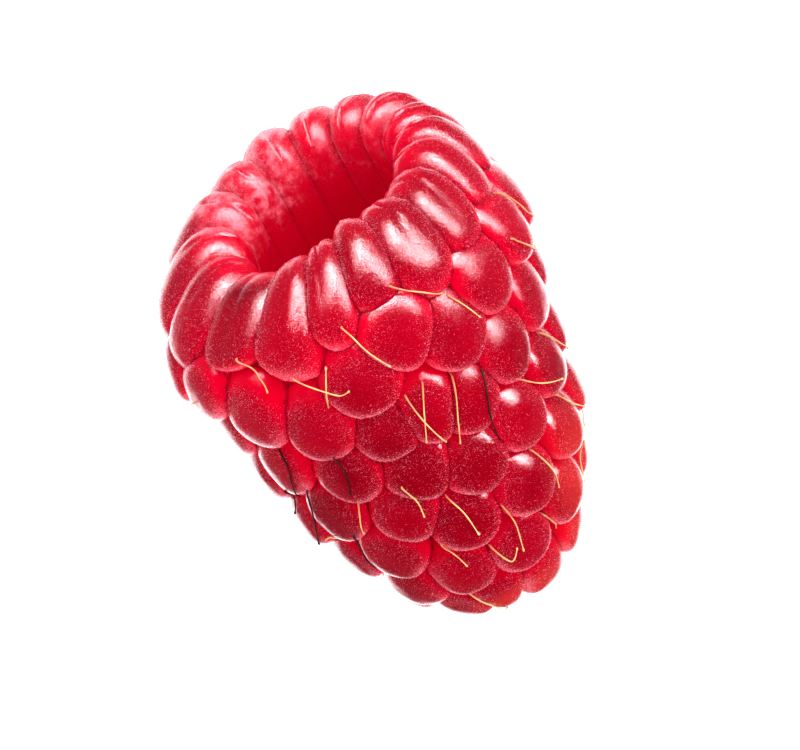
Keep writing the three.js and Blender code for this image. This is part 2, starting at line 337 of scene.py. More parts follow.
def arc_at(height):
    """How far along the profile, from the tip, the flank reaches a height."""
    outer = PROFILE_ARC <= LIP_ARC
    return np.interp(height, PROFILE[outer, 0], PROFILE_ARC[outer])


def shaped(points):
    """Points moved where the mouth isn't true to the axis.

    The lip is lifted by the rim drupelets' lifts, drawn straight from one to the next, times an
    eased step of height. The mouth is shifted, times eased steps of radius and of height.
    """
    x, y, z = np.moveaxis(points, -1, 0)
    azimuth, radius = np.arctan2(y, x), np.hypot(x, y)
    lobe, _, _, lobe_lift, _ = np.array(RIM, float).T
    lift = np.interp(np.degrees(azimuth), lobe, lobe_lift, period=360) * ease(*LIFT_HEIGHTS, z)
    shift = MOUTH_SHIFT * ease(*MOUTH_RADII, radius) * ease(*MOUTH_HEIGHTS, z)
    aside = shift * math.cos(MOUTH_SIDE), shift * math.sin(MOUTH_SIDE)
    return np.stack([x + aside[0], y + aside[1], z + lift], axis=-1)


def on_skin(arc, azimuth, rise):
    """Points over the turned groove surface: arc along its profile from the tip, azimuth in
    radians round the axis, and rise out of it along the profile's normal.

    With (h, r) the profile and (h', r') its lead, the point is at height h - r' rise and
    radius r + h' rise.
    """
    height, radius, *lead = (
        np.interp(arc, PROFILE_ARC, values) for values in (*PROFILE.T, *PROFILE_LEAD.T))
    lead = unit(np.stack(lead, axis=-1))
    height = height - lead[..., 1] * rise
    radius = radius + lead[..., 0] * rise
    parts = radius * np.cos(azimuth), radius * np.sin(azimuth), height
    return np.stack(np.broadcast_arrays(*parts), axis=-1)


def flank_frames(places):
    """The origin on the groove surface and the directions outward, round and along at places.

    Along is (radial slope + Z) at length 1, with the slope taken over a millimetre of height.
    """
    azimuth, height = np.radians(places[..., 0]), places[..., 1]
    slope = flank_radius(height + 0.5) - flank_radius(height - 0.5)
    radial = np.stack([np.cos(azimuth), np.sin(azimuth), 0 * azimuth], axis=-1)
    round_ = np.stack([-np.sin(azimuth), np.cos(azimuth), 0 * azimuth], axis=-1)
    along = unit(radial * slope[..., None] + np.array([0, 0, 1.0]))
    origin = radial * flank_radius(height)[..., None] + height[..., None] * np.array([0, 0, 1.0])
    return origin, np.cross(round_, along), round_, along


# ---------------------------------------------------------------- settings


class RaspberryFlesh(bpy.types.PropertyGroup):
    """The drupelets' shape and colour."""

    crown_rise: bpy.props.FloatProperty(
        name="Crown rise", description="How far a drupelet's crown stands over the grooves",
        default=1.0 * MM, unit="LENGTH")
    groove_depth: bpy.props.FloatProperty(
        name="Groove depth", description="How far a flank drupelet's sides go below the grooves",
        default=0.30 * MM, unit="LENGTH")
    overlap: bpy.props.FloatProperty(
        name="Overlap", description="How far flank drupelets press past the line between them",
        default=1.15, min=1.0, max=1.3, subtype="FACTOR")
    fullness: bpy.props.FloatProperty(
        name="Fullness", description="How steep a flank drupelet's sides are: 2 is an ellipsoid",
        default=2.4, min=2.0, max=4.0)
    flatness: bpy.props.FloatProperty(
        name="Flatness", description="How flat a flank drupelet's crown is: 2 is an ellipsoid",
        default=2.5, min=2.0, max=4.0)
    ripe: bpy.props.FloatVectorProperty(
        name="Ripe red", description="The flesh's colour over most of the fruit",
        default=(0.29, 0.0003, 0.018), subtype="COLOR")
    deep: bpy.props.FloatVectorProperty(
        name="Deep red", description="The riper, darker flesh",
        default=(0.215, 0.0002, 0.013), subtype="COLOR")


class RaspberryBloom(bpy.types.PropertyGroup):
    """The fine hairs on the drupelets."""

    pieces: bpy.props.IntProperty(
        name="Layers", description="How many layers of hairs there are", default=4, min=1, max=4)
    length: bpy.props.FloatProperty(
        name="Hair length", description="How long a middling hair is",
        default=0.056 * MM, unit="LENGTH")
    width: bpy.props.FloatProperty(
        name="Hair width", description="Half a hair's thickness at its root",
        default=0.0065 * MM, unit="LENGTH")


class RaspberryStage(bpy.types.PropertyGroup):
    """The floor and the light."""

    softbox: bpy.props.FloatProperty(
        name="Softbox power", description="Power of each softbox", default=2.3, unit="POWER")
    surround: bpy.props.FloatProperty(
        name="Surround", description="Brightness of the surroundings in reflections", default=0.12)
    fill: bpy.props.FloatProperty(
        name="Fill", description="Brightness of the soft light from all round", default=1.3)


# ---------------------------------------------------------------- shader maths


class Wire:
    """A socket of a node tree, on which arithmetic adds Math nodes."""

    def __init__(self, graph, socket):
        self.graph = graph
        self.socket = socket

    def _math(self, operation, *values):
        return self.graph.node("ShaderNodeMath", {"operation": operation}, dict(enumerate(values)))

    def __add__(self, other):
        return self._math("ADD", self, other)

    def __sub__(self, other):
        return self._math("SUBTRACT", self, other)

    def __rsub__(self, other):
        return self._math("SUBTRACT", other, self)

    def __mul__(self, other):
        return self._math("MULTIPLY", self, other)

    __radd__ = __add__
    __rmul__ = __mul__

    def step(self, low, high):
        """0 below low, 1 above high, and smooth between."""
        return self.graph.node(
            "ShaderNodeMapRange", {"interpolation_type": "SMOOTHSTEP"},
            {"Value": self, "From Min": low, "From Max": high})


class Graph:
    """The node tree of a new material, or of a new world."""

    def __init__(self, name, store=None):
        self.owner = (bpy.data.materials if store is None else store).new(name)
        self.owner.use_nodes = True
        self.tree = self.owner.node_tree
        self.tree.nodes.clear()

    def node(self, kind, settings=None, inputs=None, output=0):
        """Adds a node: its settings first, then its sockets' values and links."""
        node = self.tree.nodes.new(kind)
        for key, value in (settings or {}).items():
            setattr(node, key, value)
        for key, value in (inputs or {}).items():
            if isinstance(value, Wire):
                self.tree.links.new(value.socket, node.inputs[key])
            else:
                node.inputs[key].default_value = value
        return Wire(self, node.outputs[output]) if node.outputs else node

    def mix(self, factor, a, b):
        """Goes from colour a to colour b as the factor goes from 0 to 1."""
        a, b = ((*c, 1) if isinstance(c, tuple) else c for c in (a, b))
        return self.node(
            "ShaderNodeMix", {"data_type": "RGBA"}, {0: factor, 6: a, 7: b}, output=2)

    def noise(self, place, size, detail=2.0, roughness=0.5):
        """Noise whose blobs are about size millimetres wide."""
        return self.node("ShaderNodeTexNoise", None, {
            "Vector": place, "Scale": 1 / (size * MM), "Detail": detail,
            "Roughness": roughness})

    def place(self):
        """The point of the surface, in the object's own coordinates."""
        return self.node("ShaderNodeTexCoord", output="Object")

    def attribute(self, name):
        """The number that the piece's mesh stores under a name."""
        return self.node("ShaderNodeAttribute", {"attribute_name": name}, output="Fac")

    def bump(self, height, distance, strength=1.0, normal=None):
        """A bump of that distance in millimetres, over the normal that is given."""
        inputs = {"Height": height, "Distance": distance * MM, "Strength": strength}
        if normal is not None:
            inputs["Normal"] = normal
        return self.node("ShaderNodeBump", None, inputs)

    def surface(self, inputs):
        """Ends the tree in a Principled surface and gives the material."""
        shader = self.node("ShaderNodeBsdfPrincipled", None, inputs)
        self.node("ShaderNodeOutputMaterial", None, {"Surface": shader})
        return self.owner

    def by_ray(self, seen, on_flesh, in_gloss):
        """Shows one shader to the eye, one to matt surfaces and one to all other rays."""
        matt = self.node("ShaderNodeLightPath", output="Is Diffuse Ray")
        direct = self.node("ShaderNodeLightPath", output="Is Camera Ray")
        unseen = self.node("ShaderNodeMixShader", None, {0: matt, 1: in_gloss, 2: on_flesh})
        return self.node("ShaderNodeMixShader", None, {0: direct, 1: unseen, 2: seen})


WHITE = (1, 1, 1, 1)

# The flesh's other reds: a painted backlight, orange-red where light from behind would shine
# through the flesh; painted shade, nearly black, on the near lip; and painted light down the
# hollow and in the grooves, a brighter red where light comes through the flesh.
BACKLIT_RED = (0.46, 0.030, 0.030)
PAINTED_SHADE_RED = (0.035, 0.0008, 0.005)
HOLLOW_LIT_RED = (0.42, 0.0003, 0.030)
GROOVE_LIT_RED = (0.46, 0.0004, 0.032)
GLOW_RED = (0.22, 0.0, 0.014)
# Its pinks: where it has dried and where sheen is painted, where a rim light is painted as down,
# and under the dust.
DRIED_AND_SHEEN = (0.74, 0.36, 0.42)
DOWN_AND_RIM_LIGHT = (0.90, 0.40, 0.48)
DUSTY = (0.92, 0.42, 0.50)
# Between these places on the Y axis the skin turns glossier and its glow fades.
GLOSS_STARTS, GLOSS_FULL = -5 * MM, 3 * MM


def flesh_material(settings):
    """Translucent red flesh with a glossy skin, speckled pale with dust, pale pink where it has
    dried and where sheen and rim light are painted, orange-red where a backlight is painted and
    dark where shade is painted.

    The grooves, the rim and the hollow are painted brighter and glow faintly: painted light for
    light that has come through the flesh.
    """
    graph = Graph("raspberry_flesh")
    place = graph.place()
    tone, edge, hollow, dry_and_sheen, pale, bloom, groove = map(graph.attribute, (
        "tone", "edge", "hollow", "dry_and_sheen", "pale", "bloom", "groove"))
    outer = 1 - hollow
    lower = graph.node("ShaderNodeSeparateXYZ", None, {0: place}, output="Y")
    lower = lower.step(GLOSS_STARTS, GLOSS_FULL)

    # ripeness, from blobs of 2.6 mm and from drupelet to drupelet
    ripeness = (graph.noise(place, 2.6) * 1.2 + tone * 0.35 - 0.1).step(0.1, 0.9)
    flesh = graph.mix(ripeness, tuple(settings.deep), tuple(settings.ripe))
    # painted backlight: orange-red where light from behind would shine through the flesh
    flesh = graph.mix(pale * 0.8, flesh, BACKLIT_RED)
    # painted shade: nearly black where the pale number is negative, on the near lip
    flesh = graph.mix(pale * -0.85, flesh, PAINTED_SHADE_RED)
    # painted light: the hollow's flesh a brighter red, for light come through its thin walls
    flesh = graph.mix(hollow, flesh, HOLLOW_LIT_RED)
    # painted light: a brighter red in the grooves, where light comes through the flesh
    flesh = graph.mix(edge.step(0.7, 1.0) * outer * 0.5, flesh, GROOVE_LIT_RED)

    # patches partly of dried skin and partly of painted sheen, a painted rim light as down on the
    # lower sides, and specks of dust
    patch = (graph.noise(place, 0.6, 5.0, 0.7) + dry_and_sheen * 0.28).step(0.68, 0.98) * dry_and_sheen
    # pale pink, partly dried skin and partly painted sheen
    colour = graph.mix(patch * 0.55, flesh, DRIED_AND_SHEEN)
    grain = graph.noise(place, 0.11, 3.0, 0.7)
    # painted rim light: pale down colour on the edges that the bloom number marks, facing the
    # lower side
    colour = graph.mix(bloom * grain.step(0.3, 0.7) * 0.7, colour, DOWN_AND_RIM_LIGHT)
    specks = graph.noise(place, 0.075, 2.0, 0.6).step(0.56, 0.72)
    dusty = (edge.step(0.1, 0.7) * 0.27 + 0.09) * (1 - edge.step(0.8, 0.95)) * outer
    colour = graph.mix(specks * dusty, colour, DUSTY)

    # painted light: an emitted red glow in the grooves, in concave creases, toward the lip and
    # down the hollow
    glow = edge.step(0.65, 1.0) * 0.6 + groove * 0.7 + 0.35 - lower * 0.33
    glow = glow * outer + hollow * 0.42
    rough = grain * (0.14 - 0.06 * lower) + 0.10 - lower * 0.03
    normal = graph.bump(graph.noise(place, 1.3), 0.08, 0.7)
    normal = graph.bump(grain * (1 - lower * 0.5), 0.020, 1.0, normal)
    return graph.surface({
        "Base Color": colour,
        "Roughness": rough + patch * 0.2 + dry_and_sheen * 0.16,
        "IOR": 1.45,
        "Specular IOR Level": 1.0,
        "Subsurface Weight": 1.0,
        "Subsurface Radius": (1.0, 0.04, 0.06),
        "Subsurface Scale": 2.4 * MM,
        "Sheen Weight": 0.30,
        "Sheen Roughness": 0.12,
        "Sheen Tint": (1.0, 0.66, 0.74, 1),
        "Emission Color": graph.mix(glow, (0, 0, 0), GLOW_RED),
        "Emission Strength": 1.0,
        "Normal": normal,
    })


def style_material():
    """Dried plant thread, golden toward its free end and nearly black where it is dark."""
    graph = Graph("dry_style")
    dark = graph.attribute("dark")
    streak = graph.noise(graph.place(), 0.25, 3.0)
    brown = graph.mix(dark, (0.40, 0.12, 0.045), (0.05, 0.012, 0.006))
    free = graph.attribute("along").step(0.0, 0.6)
    golden = graph.mix(streak * 0.5 + free * 0.5, brown, (0.82, 0.56, 0.27))
    return graph.surface({
        "Base Color": graph.mix(dark, golden, brown),
        "Roughness": 0.55,
        "Normal": graph.bump(streak, 0.02),
    })


def hair_material():
    """Pale translucent down."""
    graph = Graph("bloom_hair")
    shade = graph.noise(graph.place(), 0.8, 1.0)
    return graph.surface({
        "Base Color": graph.mix(shade, (0.80, 0.24, 0.31), (0.92, 0.52, 0.57)),
        "Roughness": 0.5,
        "Sheen Weight": 0.3,
    })


# ---------------------------------------------------------------- the fruit

CELL_COLUMNS = 36
DOME_RINGS = 14
BASE_RINGS = 5
CREASE = math.radians(32)
# How squarely a drupelet's borders meet, and from how far off others press on it.
CORNER_SHARPNESS, NEIGHBOUR_REACH = 8.0, 6
# How much a flank drupelet swells where nothing is beside it.
SWELL = 1.18
# How far over its foot a rim drupelet presses on the row below, and its half sizes there.
RIM_FOOT, RIM_FOOT_SIZES = 1.8, (1.4, 1.2)
# How far the crowns' heights differ, on the flank and on the rim.
CROWN_SPREAD, RIM_CROWN_SPREAD = 0.07, 0.05
# A flank drupelet's dents, as waves round it and their share of its height.
DENTS = ((2, 0.035), (3, 0.03))
# How far a crown leans toward the tip for each millimetre that it is high, and how far a flank
# drupelet is tipped, so that its side toward the tip lies over the next one.
LEAN, SHINGLING = 0.32, 0.12
# How deep the roots go, on the flank and on the lip, and how deep the lip's drupelets start.
ROOT, LIP_ROOT, LIP_SINK = 0.8, 0.7, 0.45
# The share of their height that drupelets lose down the hollow, and from which arc to which.
THINNING, THINNING_ARCS = 0.88, (LIP_ARC - 0.3, LIP_ARC + 4.8)
# How steep the sides and how flat the crowns of the rim's drupelets and those down the hollow
# are, and how boxy each kind is, seen from above: 2 is an ellipse.
LIP_FULLNESS, LIP_FLATNESS = 2.4, 2.5
RIM_BOXINESS, INNER_BOXINESS = 2.6, 2.4
# How much higher a rim drupelet stands the fuller it is than a middling one.
FULLER_RISE, MIDDLING_FULLNESS = 0.6, 1.16
# The drupelets down the hollow: the height of their crowns, half their length, their width beside
# their space, and how far they stray round it, as a share of the space, and down it.
INNER_CROWN, INNER_HALF_LENGTH, INNER_WIDTH = 0.75, 1.3, 1.2
INNER_STRAY_ROUND, INNER_STRAY_DOWN = 0.12, 0.15
# The core under the drupelets, and how deep it lies under the flank and under the hollow's wall.
CORE_RINGS, CORE_COLUMNS = 90, 96
CORE_DEPTH, CORE_DEPTH_INSIDE = 0.55, 0.1
# How softly the skin turns flat where it presses on what it lies on.
PRESS_SOFTNESS = 0.04 * MM
# The way that the drupelets' lower sides face, where pale down is painted thickest as a rim light.
UNDER_SIDE = np.array([0.45, 0.87, -0.2])
# How concave the skin is where a groove begins, and where it is one in full.
GROOVE_CONCAVITY = (0.004 * MM, 0.030 * MM)


def dome_profile(fullness, flatness):
    """How far out and how high the rings of a drupelet are, from its crown down to its root.

    The dome is the superellipse out = sin(v)^(2 / fullness), up = cos(v)^(2 / flatness), and
    the root below it is half an ellipse, out = cos(v), up = -sin(v), with up counted in root
    depths.
    """
    dome = np.linspace(0, math.pi / 2, DOME_RINGS + 1)[1:]
    root = np.linspace(0, math.pi / 2, BASE_RINGS + 2)[1:-1]
    out = np.concatenate([np.sin(dome) ** (2 / fullness), np.cos(root)])
    up = np.concatenate([np.maximum(np.cos(dome), 0) ** (2 / flatness), -np.sin(root)])
    return out, up


def cell_outlines(centres, round_, along, half_sizes, neighbours, neighbour_sizes, overlap):
    """How far each drupelet reaches in each direction of its tangent plane.

    Toward a neighbour it reaches the line that parts their distance d as their own radii s and
    s' do, b = overlap d s / (s + s') / cos(angle). The reach is
    (sum of b^-p + ellipse^-p)^(-1/p), with p the corners' sharpness.
    """
    theta = angles(CELL_COLUMNS)
    rays = np.stack([np.cos(theta), np.sin(theta)], axis=-1)
    delta = neighbours[None] - centres[:, None]
    distance = np.linalg.norm(delta, axis=-1)
    flat = unit(np.stack([(delta * way[:, None]).sum(-1) for way in (round_, along)], axis=-1))

    def ellipse(sizes, direction):
        return 1 / np.maximum(np.linalg.norm(direction / sizes, axis=-1), 1e-6)

    own = ellipse(half_sizes[:, None], flat)
    other = ellipse(neighbour_sizes[None], flat)
    border = overlap * distance * own / (own + other)
    facing = np.einsum("ijk,ck->ijc", flat, rays)
    near = ((distance > 0.1) & (distance < NEIGHBOUR_REACH))[..., None]
    closeness = np.where(near, np.maximum(facing, 0) / np.maximum(border, 0.1)[..., None], 0)
    own_round = ellipse(half_sizes[:, None], rays[None])
    p = CORNER_SHARPNESS
    return ((closeness**p).sum(axis=1) + own_round**-p) ** (-1 / p)


def rounded(outlines, keep):
    """Outlines with only their slowest waves round the drupelet kept."""
    waves = np.fft.rfft(outlines, axis=-1)
    waves[..., keep + 1:] = 0
    return np.fft.irfft(waves, n=outlines.shape[-1], axis=-1)


def flank_drupelets(settings, chance):
    """The drupelets on the flank, as points (drupelet, ring, column), with both poles.

    A point is origin + round reach cos(u) + along (reach sin(u) + lean) + outward height. The
    reach turns from a round one at the crown into the outline at the foot, as out^1.5.
    """
    places = np.array([place for row in ROWS for place in row[2]], float)
    half = np.array([[row[0] / 2, row[1] / 2] for row in ROWS for _ in row[2]])
    rim = np.array([place[:2] for place in RIM], float)
    origin, outward, round_, along = flank_frames(places)
    neighbours = np.concatenate([origin, flank_frames(rim + [0, RIM_FOOT])[0]])
    sizes = np.concatenate([half, np.tile(RIM_FOOT_SIZES, (len(rim), 1))])
    outline = cell_outlines(
        origin, round_, along, half * SWELL, neighbours, sizes, settings.overlap)
    soft = rounded(outline, 2)
    out, up = dome_profile(settings.fullness, settings.flatness)
    theta = angles(CELL_COLUMNS)
    share = np.minimum(out, 1)[None, :, None] ** 1.5
    share[:, DOME_RINGS:] = 1
    reach = out[None, :, None] * (soft[:, None] * (1 - share) + outline[:, None] * share)

    depth = settings.groove_depth / MM
    crown = settings.crown_rise / MM + depth + CROWN_SPREAD * chance.standard_normal(len(places))
    height = np.where(up > 0, crown[:, None] * up, ROOT * up)[..., None] - depth
    dent = sum(
        size * np.sin(waves * theta + TURN * chance.random((len(places), 1, 1)))
        for waves, size in DENTS)
    dented = (height + depth) * (1 + dent * share) - depth
    height = np.where(up[:, None] > 0, dented, height)
    lean = -LEAN * np.maximum(height, -depth)
    height = height - SHINGLING * reach * np.sin(theta)

    def moved(direction, amount):
        return direction[:, None, None] * amount[..., None]

    points = (origin[:, None, None] + moved(along, lean) + moved(round_, reach * np.cos(theta))
              + moved(along, reach * np.sin(theta)) + moved(outward, height))
    top = origin + (outward - LEAN * along) * (crown - depth)[:, None]
    bottom = origin - outward * (depth + ROOT) + LEAN * depth * along
    return top, points, bottom, np.where(up > 0, out, 1.0)


def thinned(arc):
    """The share of its height that a drupelet keeps at an arc: 1 less an eased step."""
    return 1 - THINNING * ease(*THINNING_ARCS, arc)


def lip_drupelets(azimuth, left, right, low_arc, high_arc, crown, boxiness):
    """Drupelets bent along the profile, as points (drupelet, ring, column), with both poles.

    On a superellipse cos(u), sin(u), the azimuth goes out to left or right and the arc from low
    to high, and the height over the groove surface is the dome's, thinned down the hollow.
    """
    out, up = dome_profile(LIP_FULLNESS, LIP_FLATNESS)
    theta = angles(CELL_COLUMNS)
    cosine, sine = np.cos(theta), np.sin(theta)
    corner = (np.abs(cosine) ** boxiness + np.abs(sine) ** boxiness) ** (-1 / boxiness)
    across = out[:, None] * corner * cosine
    along = out[:, None] * corner * sine
    width = np.where(across > 0, right[:, None, None], left[:, None, None])
    turned = azimuth[:, None, None] + across * width
    middle, half = (low_arc + high_arc) / 2, (high_arc - low_arc) / 2
    arc = middle[:, None, None] + along * half[:, None, None]
    dome = (crown[:, None, None] + LIP_SINK) * up[:, None]
    rise = np.where(up[:, None] > 0, dome, LIP_ROOT * up[:, None])
    points = on_skin(arc, turned, (rise - LIP_SINK) * thinned(arc))
    top = on_skin(middle, azimuth, crown * thinned(middle))
    bottom = on_skin(middle, azimuth, (-LIP_ROOT - LIP_SINK) * thinned(middle))
    return top, points, bottom, np.where(up > 0, out, 1.0)


def rim_drupelets(settings, chance):
    """The rim's long drupelets, from their feet on the flank over the lip into the hollow.

    To each side they reach halfway to the next one, times their fullness.
    """
    azimuth, height, reach, _, full = np.array(RIM, float).T
    azimuth = np.radians(azimuth)
    gap = np.diff(np.concatenate([azimuth, azimuth[:1] + TURN])) / 2
    crown = settings.crown_rise / MM + RIM_CROWN_SPREAD * chance.standard_normal(len(azimuth))
    return lip_drupelets(
        azimuth, np.roll(gap, 1) * full, gap * full, arc_at(height), LIP_ARC + reach,
        crown + FULLER_RISE * (full - MIDDLING_FULLNESS), RIM_BOXINESS)


def inner_drupelets(chance, depth, count):
    """A row of low drupelet ends down the hollow, nearly evenly spaced."""
    number = np.arange(count) + chance.random()
    azimuth = TURN * (number + INNER_STRAY_ROUND * chance.standard_normal(count)) / count
    gap = np.full(count, TURN / count / 2 * INNER_WIDTH)
    middle = LIP_ARC + depth + INNER_STRAY_DOWN * chance.standard_normal(count)
    return lip_drupelets(
        azimuth, gap, gap, middle - INNER_HALF_LENGTH, middle + INNER_HALF_LENGTH,
        np.full(count, INNER_CROWN), INNER_BOXINESS)


def core_mesh():
    """The flesh under the drupelets: the profile, sunk a little, turned round the axis."""
    arc = np.linspace(0, PROFILE_ARC[-1], CORE_RINGS + 2)[1:-1]
    azimuth = -angles(CORE_COLUMNS)
    depth = CORE_DEPTH - (CORE_DEPTH - CORE_DEPTH_INSIDE) * ease(LIP_ARC, LIP_ARC + 3, arc)
    points = on_skin(arc[:, None], azimuth[None, :], -depth[:, None])
    tip = [[0, 0, FLANK[0][0] + CORE_DEPTH]]
    end = [[0, 0, LIP_AND_HOLLOW[-1][0] - CORE_DEPTH_INSIDE]]
    points = np.concatenate([tip, points.reshape(-1, 3), end])
    mesh = mesh_of("core", points, globe_faces(CORE_RINGS, CORE_COLUMNS))
    add_attributes(mesh, tone=0, edge=1)
    return mesh


def joined(core, parts):
    """The union of a closed mesh with many closed meshes, as one closed mesh."""
    scene = bpy.context.scene
    holder = bpy.data.collections.new("parts")
    scene.collection.children.link(holder)
    body = link("core", core)
    pieces = [link(mesh.name, mesh, collection=holder) for mesh in parts]
    union = body.modifiers.new("union", "BOOLEAN")
    union.operation = "UNION"
    union.solver = "MANIFOLD"
    union.operand_type = "COLLECTION"
    union.collection = holder
    whole = body.evaluated_get(bpy.context.evaluated_depsgraph_get())
    mesh = bpy.data.meshes.new_from_object(whole)
    mesh.materials.clear()
    for piece in pieces + [body]:
        data = piece.data
        bpy.data.objects.remove(piece)
        bpy.data.meshes.remove(data)
    bpy.data.collections.remove(holder)
    return mesh


def flesh_places(points):
    """Where the flesh is down the hollow, where it has dried and where sheen is painted on it, and
    where a backlight is painted on it as a pale orange-red.

    Each is a product of eased steps of height, radius and azimuth. The hollow begins at the
    middle of the wall, and a negative pale is painted shade on the near lip.
    """
    x, y, z = points.T
    azimuth, radius = np.degrees(np.arctan2(y, x)), np.hypot(x, y)
    heights, radii = np.array(LIP_AND_HOLLOW[:1:-1], float).T
    wall = (flank_radius(z) + np.interp(z, heights, radii)) / 2
    hollow = ease(1.0, -0.6, radius - wall) * ease(5.2, 5.8, z)

    def sector(middle, half):
        away = np.abs((azimuth - middle + 180) % 360 - 180)
        return ease(half, half * 0.5, away)

    shoulder = ease(19.8, 21.6, z) * ease(7.2, 6.2, radius)
    # partly dried skin, partly painted sheen, on the shoulders of the far rim
    dry_and_sheen = shoulder * (sector(225, 50) + 0.75 * sector(150, 70))
    # painted backlight: low on the right side and at the tip, where light from behind shines
    # through
    pale = sector(80, 55) * ease(11, 6, z) + ease(2.4, 1.2, z) * sector(10, 60)
    # painted shade: a dark patch on the top of the near lip
    painted_shade = sector(-50, 20) * ease(21.2, 22.2, z) * ease(7.6, 6.2, radius)
    return {
        "hollow": hollow, "dry_and_sheen": np.minimum(dry_and_sheen, 1), "pale": np.minimum(pale, 1) - painted_shade}


def fruit_mesh(settings):
    """The fruit's skin: all drupelets joined with the core, laid down and pressed flat below.

    A height z over the surface becomes (z + |(z, softness)|) / 2.
    """
    chance = np.random.default_rng(SEED)
    groups = [flank_drupelets(settings, chance), rim_drupelets(settings, chance)]
    groups += [inner_drupelets(chance, *row) for row in INNER_ROWS]
    faces = globe_faces(DOME_RINGS + BASE_RINGS, CELL_COLUMNS)
    parts = []
    for top, points, bottom, edge in groups:
        edges = np.concatenate([[0], np.repeat(edge, CELL_COLUMNS), [1]])
        for i, tone in enumerate(chance.uniform(-1, 1, len(top))):
            cloud = np.concatenate([top[i:i + 1], points[i].reshape(-1, 3), bottom[i:i + 1]])
            part = mesh_of("drupelet", cloud, faces)
            add_attributes(part, tone=tone, edge=edges)
            parts.append(part)
    mesh = joined(core_mesh(), parts)
    mesh.name = "fruit_skin"
    grown = read_vertices(mesh)
    add_attributes(mesh, **flesh_places(grown))
    places = laid(shaped(grown))
    places[:, 2] = (places[:, 2] + np.hypot(places[:, 2], PRESS_SOFTNESS)) / 2
    mesh.vertices.foreach_set("co", places.astype(np.float32).reshape(-1))
    smooth(mesh, CREASE)
    return mesh


class RASPBERRY_OT_fruit(bpy.types.Operator):
    """Grows the fruit: drupelets joined with the hollow flesh under them"""

    bl_idname = "raspberry.fruit"
    bl_label = "Grow the fruit"

    def execute(self, context):
        settings = context.scene.raspberry_flesh
        mesh = fruit_mesh(settings)
        edge = read_attribute(mesh, "edge")
        # the bloom number paints a pale rim light, shown as down, on the edges that face the lower
        # side
        under = ease(0.25, 0.8, read_vertices(mesh, "normal") @ UNDER_SIDE)
        add_attributes(
            mesh, bloom=under * ease(0.5, 0.8, edge) * ease(1.0, 0.93, edge),
            groove=ease(*GROOVE_CONCAVITY, concavity(mesh)))
        fruit = link("berry", mesh, flesh_material(settings))
        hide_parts("fruit")
        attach(fruit, "root")
        return {"FINISHED"}


# ---------------------------------------------------------------- the styles

# The numbers of the styles that have dried dark.
DARK_STYLES = (15, 16, 17, 18, 19, 22)
STYLE_RINGS, STYLE_COLUMNS = 28, 8
# A style's middling half thickness, how far it stands off the skin, and how deep it is rooted.
STYLE_RADIUS, STYLE_CLEARANCE, STYLE_ROOT = 0.041 * MM, 0.09 * MM, 0.1 * MM
# From how far off the skin under a style is looked for, and how often its line is drawn taut.
SKIN_SEARCH, TAUT_ROUNDS = 4 * MM, 80


def style_paths(berry):
    """The centre lines of the styles over the berry, as points (style, step), in metres.

    A line runs through its places, each point past the root is raised to stand clear of the
    skin under it, and the line is then drawn taut: each raise is at least the mean of the two
    beside it.
    """
    lines = []
    for places in STYLES:
        route = spline(np.array(places, float), 12)
        share = np.linspace(0, len(route) - 1, STYLE_RINGS)
        steps = np.arange(len(route))
        lines.append(np.stack([np.interp(share, steps, route[:, k]) for k in (0, 1)], axis=-1))
    origin, outward, _, _ = flank_frames(np.array(lines))
    points = laid(shaped(origin))
    outward = unit(laid(shaped(origin + outward)) - points)
    heights = np.zeros(points.shape[:2])
    for place in np.ndindex(heights.shape):
        start = points[place] + outward[place] * SKIN_SEARCH
        found, hit, _, _ = berry.ray_cast(start, -outward[place])
        if found:
            heights[place] = (np.array(hit) - points[place]) @ outward[place]
    lift = heights + STYLE_CLEARANCE
    lift[:, 0] = heights[:, 0] - STYLE_ROOT
    for _ in range(TAUT_ROUNDS):
        lift[:, 1:-1] = np.maximum(lift[:, 1:-1], (lift[:, :-2] + lift[:, 2:]) / 2)
    return points + outward * lift[..., None]


def tube_mesh(name, path, radii, columns):
    """A closed tube of round rings along a path, with a pole 0.6 of a radius past each end.

    The rings' directions are carried from ring to ring: each is the last one less its part
    along the path's lead, at length 1.
    """
    lead = unit(np.gradient(path, axis=0))
    side = np.empty_like(path)
    # the first is square to the lead and to a way that no style starts along
    side[0] = unit(np.cross(lead[0], [0.31, 0.87, 0.38]))
    for i in range(1, len(path)):
        side[i] = unit(side[i - 1] - lead[i] * (side[i - 1] @ lead[i]))
    other = np.cross(lead, side)
    theta = -angles(columns)
    ring = (side[:, None] * np.cos(theta)[:, None] + other[:, None] * np.sin(theta)[:, None])
    points = path[:, None] + ring * radii[:, None, None]
    start = path[:1] - lead[:1] * radii[0] * 0.6
    end = path[-1:] + lead[-1:] * radii[-1] * 0.6
    cloud = np.concatenate([start, points.reshape(-1, 3), end])
    return mesh_of(name, cloud, globe_faces(len(path), columns))


